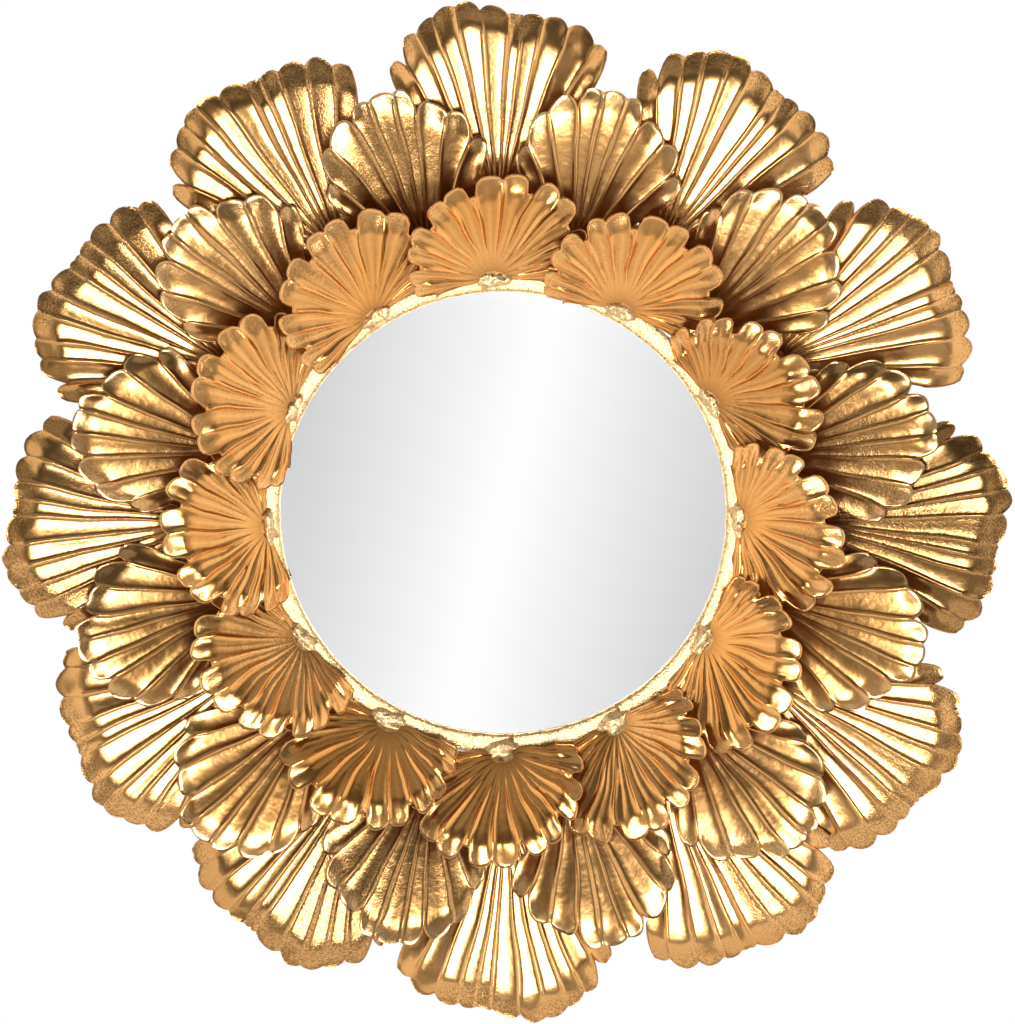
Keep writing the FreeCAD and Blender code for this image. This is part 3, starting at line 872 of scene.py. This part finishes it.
@dataclass(frozen=True)
class Brazing:
    """The lumpy bead of braze over the rim's lip and the blob at the foot of each inner leaf."""

    bead_radius: float = 185.3
    bead_half_width: float = 7.8
    bead_half_height: float = 1.7
    bead_depth: float = 15.9
    bead_lump_size: float = 3.5
    bead_lump: float = 0.8
    bead_segments: int = 900
    bead_sides: int = 16
    blob_radius: float = 188.0
    blob_depth: float = 20.5
    blob_half_width: float = 15.5
    blob_half_reach: float = 6.5
    blob_half_height: float = 5.0
    blob_lump_size: float = 6.5
    blob_lump: float = 2.0
    blob_segments: int = 72
    blob_rings: int = 36
    fine_lump_share: float = 0.35
    fine_lumps_per_lump: float = 2.7

    def roughen(self, piece: bpy.types.Object, size: float, amount: float) -> None:
        """Pushes a piece's points in and out along their normals.

        Args:
            piece: The piece, in millimetres.
            size: About how large the lumps are.
            amount: How far the points move.
        """
        normals = [Vector(vertex.normal) for vertex in piece.data.vertices]
        for vertex, normal in zip(piece.data.vertices, normals):
            spot = vertex.co / size
            fine = self.fine_lump_share * noise.noise(spot * self.fine_lumps_per_lump)
            vertex.co += normal * amount * (noise.noise(spot) + fine)

    def bead(self) -> bpy.types.Object:
        """Models the bead over the lip.

        Returns:
            The bead, in millimetres.
        """
        deselect()
        bpy.ops.mesh.primitive_torus_add(
            major_radius=self.bead_radius, minor_radius=self.bead_half_width,
            major_segments=self.bead_segments, minor_segments=self.bead_sides,
        )
        piece = bpy.context.object
        squash = Matrix.Diagonal((1, 1, self.bead_half_height / self.bead_half_width, 1))
        upright = Matrix.Rotation(math.radians(90), 4, "X")
        piece.data.transform(Matrix.Translation((0, -self.bead_depth, 0)) @ upright @ squash)
        self.roughen(piece, self.bead_lump_size, self.bead_lump)
        return piece

    def blob(self, leaf: Leaf) -> bpy.types.Object:
        """Models the blob at the foot of an inner leaf.

        Args:
            leaf: The leaf, whose slide the blob follows outwards.

        Returns:
            The blob, in millimetres.
        """
        deselect()
        bpy.ops.mesh.primitive_uv_sphere_add(
            segments=self.blob_segments, ring_count=self.blob_rings, radius=1
        )
        piece = bpy.context.object
        slid = leaf.slide / 2
        half_reach = self.blob_half_reach + slid
        shape = Matrix.Diagonal((self.blob_half_width, self.blob_half_height, half_reach, 1))
        place = Matrix.Translation((0, -self.blob_depth, self.blob_radius + slid))
        piece.data.transform(Matrix.Rotation(math.radians(leaf.clock), 4, "Y") @ place @ shape)
        self.roughen(piece, self.blob_lump_size, self.blob_lump)
        return piece

    def build(self, finish: CrustGold) -> None:
        """Builds and dresses the bead and the blobs.

        Args:
            finish: Their gold.
        """
        material = finish.make()
        pieces = [("rim_braze_bead", self.bead())]
        for leaf in INNER.leaves():
            pieces.append((f"braze_blob_{leaf.number:02d}", self.blob(leaf)))
        for name, piece in pieces:
            piece.data.transform(Matrix.Scale(MM, 4))
            piece.data.shade_smooth()
            settle(piece, name, material)


@dataclass(frozen=True)
class Wiring:
    """How lumpy the gold is on one kind of piece of the carrying frame."""

    lump: float
    lump_depth: float

    def gold(self, name: str) -> CrustGold:
        """The gold of a piece."""
        return CrustGold(name, lump=self.lump, lump_depth=self.lump_depth)


ROD = Wiring(lump=0.005, lump_depth=0.0005)
STRAP = Wiring(lump=0.006, lump_depth=0.0003)


@dataclass(frozen=True)
class Mirror:
    """The plate, its rim and the stack behind it, which keep their solids."""

    finishes: dict[str, object] = field(default_factory=lambda: {
        "mirror_glass": MirrorSilver("mirror_silver"),
        "glass_gasket": Mottled(
            "black_gasket", light=(0.03, 0.03, 0.03), dark=(0.015, 0.015, 0.015),
            roughness=0.6, mottle=0.002,
        ),
        "packing_foam": Mottled(
            "packing_foam", light=(0.75, 0.75, 0.73), dark=(0.6, 0.6, 0.58),
            roughness=0.9, mottle=0.003,
        ),
        "backing_board": Mottled(
            "pressed_board", light=(0.30, 0.19, 0.10), dark=(0.17, 0.10, 0.05),
            roughness=0.75, mottle=0.004,
        ),
        "rim_hoop": CrustGold("rim_gold"),
        "board_lugs": CrustGold("lug_gold"),
        "board_screws": Mottled(
            "screw_steel", light=(0.62, 0.62, 0.6), dark=(0.4, 0.4, 0.4),
            roughness=0.35, mottle=0.002, metal=1.0,
        ),
        "rear_hoop": ROD.gold("wire_gold"),
        "middle_hoop": ROD.gold("middle_wire_gold"),
        "frame_arms": ROD.gold("arm_gold"),
        "wall_bumpers": Mottled(
            "bumper_rubber", light=(0.05, 0.05, 0.05), dark=(0.02, 0.02, 0.02),
            roughness=0.7, mottle=0.002,
        ),
        "keyhole_strap_left": STRAP.gold("left_strap_gold"),
        "keyhole_strap_right": STRAP.gold("right_strap_gold"),
        "outer_leaf_tangs": CrustGold("outer_tang_gold"),
        "middle_leaf_tangs": CrustGold("middle_tang_gold"),
        "inner_leaf_tangs": CrustGold("inner_tang_gold"),
    })

    def dress(self) -> None:
        """Gives each solid that is kept its finish."""
        for node, finish in self.finishes.items():
            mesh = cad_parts[node].data
            mesh.materials.clear()
            mesh.materials.append(finish.make())
            LOG.info("%s: %s", node, type(finish).__name__)


@dataclass(frozen=True)
class Studio:
    """Floor, walls, soft lamps and the camera.

    The mirror is near the room's rear, and rears, fronts and seams are places along Y. Glows and radiances
    say how bright a wall or a lamp is.
    """

    distance: float = 9.0
    azimuth: float = 1.0
    elevation: float = 7.5
    pixels_per_metre: float = 1260.0
    picture_width: float = 1015.0
    sensor: float = 36.0
    view_depth: float = 100.0
    aim_right: float = 4.5
    aim_up: float = 1.0
    glass_depth: float = 0.0135
    floor_height: float = -2.3
    floor_size: float = 40.0
    floor_colour: Colour = (0.94, 0.89, 0.82)
    floor_roughness: float = 0.8
    room_height: float = 4.9
    room_half_width: float = 3.6
    room_rear: float = 0.6
    room_front: float = -5.4
    screen_rear: float = -3.0
    ceiling_seam: float = -2.6
    rug_rear: float = 0.4
    rug_seam: float = -2.2
    rug_lift: float = 0.01
    wall_tint: Colour = (1.0, 0.97, 0.94)
    wall_glow: float = 1.15
    screen_glow: float = 0.45
    front_glow: float = 0.12
    front_ceiling_glow: float = 0.09
    rear_ceiling_glow: float = 0.38
    front_rug_glow: float = 0.35
    rear_rug_glow: float = 0.95
    card_distance: float = 4.1
    card_size: float = 0.9
    card_across: float = 0.9
    card_up: float = 0.2
    card_places: tuple[float, ...] = (0.10, 0.49, 0.515, 0.90)
    card_greys: tuple[float, ...] = (0.455, 1.0, 1.0, 0.453)
    card_glow: float = 1.1
    lamp_distance: float = 4.0
    lamp_hole: float = 0.272
    ring_half_width: float = 0.69
    ring_top: float = 0.10
    ring_bottom: float = -1.1
    ring_radiance: float = 18.0
    wing_width: float = 0.65
    side_wing_radiance: float = 1.0
    top_wing_radiance: float = 0.9
    bottom_wing_radiance: float = 0.45
    rear_lamp_place: tuple[float, float, float] = (0, 3.5, 0.8)
    rear_lamp_facing: tuple[float, float, float] = (0, -1, -0.2)
    rear_lamp_width: float = 3.0
    rear_lamp_height: float = 2.5
    rear_radiance: float = 1.0
    world_strength: float = 0.45

    def panel(
        self, name: str, centre: Vector, facing: Vector, width: float, height: float
    ) -> bpy.types.Object:
        """Adds a flat stage panel.

        Args:
            name: Its name.
            centre: Its centre.
            facing: The direction that it faces.
            width: Its width.
            height: Its height.

        Returns:
            The panel.
        """
        deselect()
        bpy.ops.mesh.primitive_plane_add(size=1)
        panel = bpy.context.object
        panel.name = name
        turn = facing.to_track_quat("Z", "Y").to_matrix().to_4x4()
        panel.matrix_world = Matrix.Translation(centre) @ turn @ Matrix.Diagonal((width, height, 1, 1))
        return panel

    def floor(self) -> None:
        """Lays the plain pale floor, which the camera sees as white."""
        centre = Vector((0, 0, self.floor_height))
        floor = self.panel("floor", centre, Vector((0, 0, 1)), self.floor_size, self.floor_size)
        shade = Shade("floor_white")
        shade.dress(Base_Color=self.floor_colour, Roughness=self.floor_roughness)
        seen = shade.node("ShaderNodeLightPath", {}, {}, "Is Camera Ray")
        white = shade.glow((1.0, 1.0, 1.0))
        shaders = {0: seen, 1: shade.surface.outputs[0], 2: white}
        shade.cover(shade.node("ShaderNodeMixShader", {}, shaders))
        floor.data.materials.append(shade.material)

    def wall(
        self, name: str, centre: Vector, facing: Vector, width: float, height: float, glow: float
    ) -> None:
        """Adds an evenly bright panel that the camera doesn't see.

        Args:
            name: Its name.
            centre: Its centre.
            facing: The direction that it faces.
            width: Its width.
            height: Its height.
            glow: How bright it is.
        """
        wall = self.panel(name, centre, facing, width, height)
        wall.visible_camera = False
        shade = Shade(name)
        shade.cover(shade.glow(tuple(glow * part for part in self.wall_tint)))
        wall.data.materials.append(shade.material)

    def walls(self) -> None:
        """Puts up the walls, the ceiling and the rugs, which only the metal sees."""
        tall, half, wide = self.room_height, self.room_half_width, 2 * self.room_half_width
        middle = self.floor_height + tall / 2
        for name, side, rear, front, glow in (
            ("left_wall", -1, self.room_rear, self.screen_rear, self.wall_glow),
            ("right_wall", 1, self.room_rear, self.screen_rear, self.wall_glow),
            ("left_screen", -1, self.screen_rear, self.room_front, self.screen_glow),
            ("right_screen", 1, self.screen_rear, self.room_front, self.screen_glow),
        ):
            centre = Vector((side * half, (rear + front) / 2, middle))
            self.wall(name, centre, Vector((-side, 0, 0)), rear - front, tall, glow)
        centre = Vector((0, self.room_front, middle))
        self.wall("front_wall", centre, Vector((0, 1, 0)), wide, tall, self.front_glow)
        ceiling, rug = self.floor_height + tall, self.floor_height + self.rug_lift
        for name, level, facing, rear, front, glow in (
            ("front_ceiling", ceiling, -1, self.ceiling_seam, self.room_front, self.front_ceiling_glow),
            ("rear_ceiling", ceiling, -1, self.room_rear, self.ceiling_seam, self.rear_ceiling_glow),
            ("front_rug", rug, 1, self.rug_seam, self.room_front, self.front_rug_glow),
            ("rear_rug", rug, 1, self.rug_rear, self.rug_seam, self.rear_rug_glow),
        ):
            centre = Vector((0, (rear + front) / 2, level))
            self.wall(name, centre, Vector((0, 0, facing)), wide, rear - front, glow)

    def aim(self, distance: float) -> Vector:
        """Where the camera's line, mirrored in the glass, meets the plane at a distance in front."""
        across, up = math.tan(math.radians(self.azimuth)), math.tan(math.radians(self.elevation))
        return Vector((-distance * across, -distance, -distance * up))

    def card(self) -> None:
        """Hangs the pale card between the lamps, which the glass shows."""
        shade = Shade("card_grey")
        slope = shade.coordinate("X") * self.card_across + shade.coordinate("Y") * self.card_up + 0.5
        greys = ((grey, grey, grey) for grey in self.card_greys)
        colour = shade.ramp(slope, *zip(self.card_places, greys))
        shade.cover(shade.glow(colour, self.card_glow))
        centre = self.aim(self.card_distance)
        card = self.panel("pale_card", centre, Vector((0, 1, 0)), self.card_size, self.card_size)
        card.visible_camera = False
        card.data.materials.append(shade.material)

    def lamp(
        self, name: str, centre: Vector, facing: Vector, width: float, height: float, glow: float
    ) -> None:
        """Adds a soft rectangular lamp that the camera doesn't see.

        Args:
            name: Its name.
            centre: Its centre.
            facing: The direction that it faces.
            width: Its width.
            height: Its height.
            glow: How bright its face is.
        """
        light = bpy.data.lights.new(name, "AREA")
        light.shape = "RECTANGLE"
        light.size = width
        light.size_y = height
        light.energy = glow * math.pi * width * height
        lamp = bpy.data.objects.new(name, light)
        bpy.context.scene.collection.objects.link(lamp)
        turn = (-facing).to_track_quat("Z", "Y").to_matrix().to_4x4()
        lamp.matrix_world = Matrix.Translation(centre) @ turn
        lamp.visible_camera = False

    def lamps(self) -> None:
        """Sets soft lamps around the card, with wings around them, and a weak fill from behind."""
        centre = self.aim(self.lamp_distance)
        upper, lower = centre.z + self.lamp_hole, centre.z - self.lamp_hole
        hole_left, hole_right = centre.x - self.lamp_hole, centre.x + self.lamp_hole
        side, top, bottom = self.ring_half_width, self.ring_top, self.ring_bottom
        outside, above, below = side + self.wing_width, top + self.wing_width, bottom - self.wing_width
        for name, left, right, low, high, radiance in (
            ("upper_lamp", -side, side, upper, top, self.ring_radiance),
            ("lower_lamp", -side, side, bottom, lower, self.ring_radiance),
            ("left_lamp", -side, hole_left, lower, upper, self.ring_radiance),
            ("right_lamp", hole_right, side, lower, upper, self.ring_radiance),
            ("left_wing", -outside, -side, below, top, self.side_wing_radiance),
            ("right_wing", side, outside, below, top, self.side_wing_radiance),
            ("top_wing", -outside, outside, top, above, self.top_wing_radiance),
            ("bottom_wing", -side, side, below, bottom, self.bottom_wing_radiance),
        ):
            spot = Vector(((left + right) / 2, -self.lamp_distance, (low + high) / 2))
            self.lamp(name, spot, Vector((0, 1, 0)), right - left, high - low, radiance)
        place, facing = Vector(self.rear_lamp_place), Vector(self.rear_lamp_facing)
        width, height = self.rear_lamp_width, self.rear_lamp_height
        self.lamp("rear_lamp", place, facing, width, height, self.rear_radiance)

    def world(self) -> None:
        """Makes the world white to the camera and in reflections, and a weak even light on all else."""
        world = bpy.data.worlds.new("studio_world")
        bpy.context.scene.world = world
        sky = Nodes(world)
        seen = sky.node("ShaderNodeLightPath", {}, {}, "Is Camera Ray")
        for ray in ("Is Glossy Ray", "Is Transmission Ray"):
            also = sky.node("ShaderNodeLightPath", {}, {}, ray)
            seen = sky.node("ShaderNodeMath", {"operation": "MAXIMUM"}, {0: seen, 1: also})
        inputs = {0: seen, "To Min": self.world_strength, "To Max": 1.0}
        strength = sky.node("ShaderNodeMapRange", {}, inputs)
        background = sky.tree.nodes["Background"]
        sky.feed(background, {"Color": (1.0, 1.0, 1.0), "Strength": strength})

    def camera(self) -> None:
        """Sets the camera at the photograph's angle."""
        azimuth, elevation = math.radians(self.azimuth), math.radians(self.elevation)
        right = Vector((math.cos(azimuth), math.sin(azimuth), 0))
        level = Vector((-math.sin(azimuth), math.cos(azimuth), 0))
        ahead = level * math.cos(elevation) - Vector((0, 0, math.sin(elevation)))
        up = right.cross(ahead)
        glass = Vector((0, -self.glass_depth, 0))
        target = glass + (right * self.aim_right + up * self.aim_up) / self.pixels_per_metre
        data = bpy.data.cameras.new("camera")
        data.sensor_fit = "HORIZONTAL"
        data.sensor_width = self.sensor
        data.lens = self.pixels_per_metre * self.distance / self.picture_width * self.sensor
        data.clip_end = self.view_depth
        camera = bpy.data.objects.new("camera", data)
        bpy.context.scene.collection.objects.link(camera)
        turn = Matrix((right, up, -ahead)).transposed().to_4x4()
        camera.matrix_world = Matrix.Translation(target - ahead * self.distance) @ turn
        bpy.context.scene.camera = camera

    def build(self) -> None:
        """Builds the whole studio."""
        self.floor()
        self.walls()
        self.card()
        self.lamps()
        self.world()
        self.camera()
        bpy.context.scene.view_settings.view_transform = "Standard"


def main() -> None:
    """Builds the mirror piece by piece, and then the studio around it."""
    logging.basicConfig(level=logging.INFO, format="%(message)s")
    Mirror().dress()
    OUTER.build(OUTER_GOLD)
    MIDDLE.build(MIDDLE_GOLD)
    INNER.build(INNER_GOLD)
    Brazing().build(BRAZE_GOLD)
    Studio().build()


if __name__ == "__main__":
    main()
